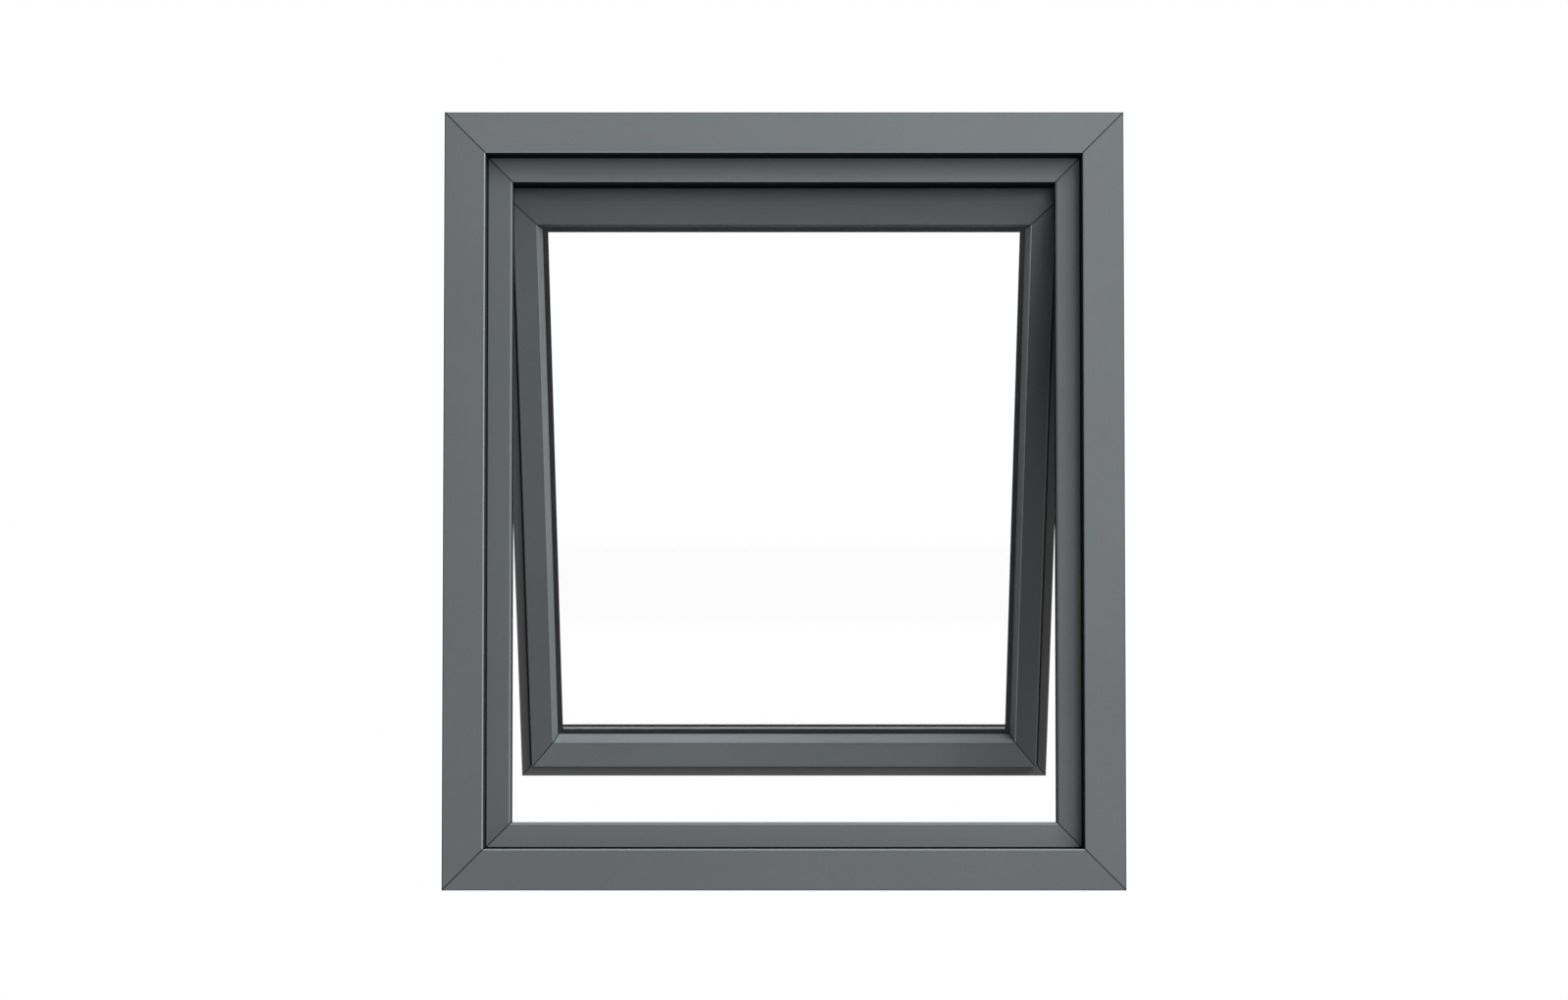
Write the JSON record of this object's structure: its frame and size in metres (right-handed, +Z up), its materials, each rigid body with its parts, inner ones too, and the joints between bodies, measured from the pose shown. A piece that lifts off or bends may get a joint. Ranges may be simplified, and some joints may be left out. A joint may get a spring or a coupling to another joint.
{
  "type": "top-hung awning window",
  "caption": "Top-hung awning window in grey aluminium with insulating glass, its sash held open outward on friction stays in a deep mitred frame.",
  "frame": {"origin": "middle of the sill's flat underside, halfway through the frame's depth", "axes": "+X to the right seen from the room, +Y from the room to the outside, +Z up; the sash hangs open towards +Y"},
  "size_m": [0.7, 0.4043, 0.8],
  "materials": {
    "frame_paint": "matte",
    "sash_paint": "matte",
    "rubber_seal": "matte",
    "glazing_rubber": "matte",
    "clear_glass": "gloss",
    "spacer_metal": "satin",
    "edge_sealant": "matte",
    "block_plastic": "matte",
    "slider_plastic": "satin",
    "stay_steel": "satin",
    "cap_plastic": "matte"
  },
  "bodies": {
    "root": {"frame_head": "frame_paint", "stop_head": "frame_paint", "frame_sill": "frame_paint", "stop_sill": "frame_paint", "frame_jamb_left": "frame_paint", "stop_jamb_left": "frame_paint", "frame_jamb_right": "frame_paint", "stop_jamb_right": "frame_paint", "frame_seal": "rubber_seal", "sash_top_rail": "sash_paint", "sash_bottom_rail": "sash_paint", "sash_stile_left": "sash_paint", "sash_stile_right": "sash_paint", "bead_top": "sash_paint", "bead_bottom": "sash_paint", "bead_left": "sash_paint", "bead_right": "sash_paint", "inner_glazing_seal": "glazing_rubber", "outer_glazing_seal": "glazing_rubber", "pane_inside": "clear_glass", "pane_outside": "clear_glass", "spacer_bar": "spacer_metal", "edge_seal": "edge_sealant", "glazing_blocks": "block_plastic", "stay_left_track": "stay_steel", "stay_left_slider": "slider_plastic", "stay_left_sash_bar": "stay_steel", "stay_left_support_arm": "stay_steel", "stay_right_track": "stay_steel", "stay_right_slider": "slider_plastic", "stay_right_sash_bar": "stay_steel", "stay_right_support_arm": "stay_steel", "drain_caps": "cap_plastic"}
  },
  "joints": []
}
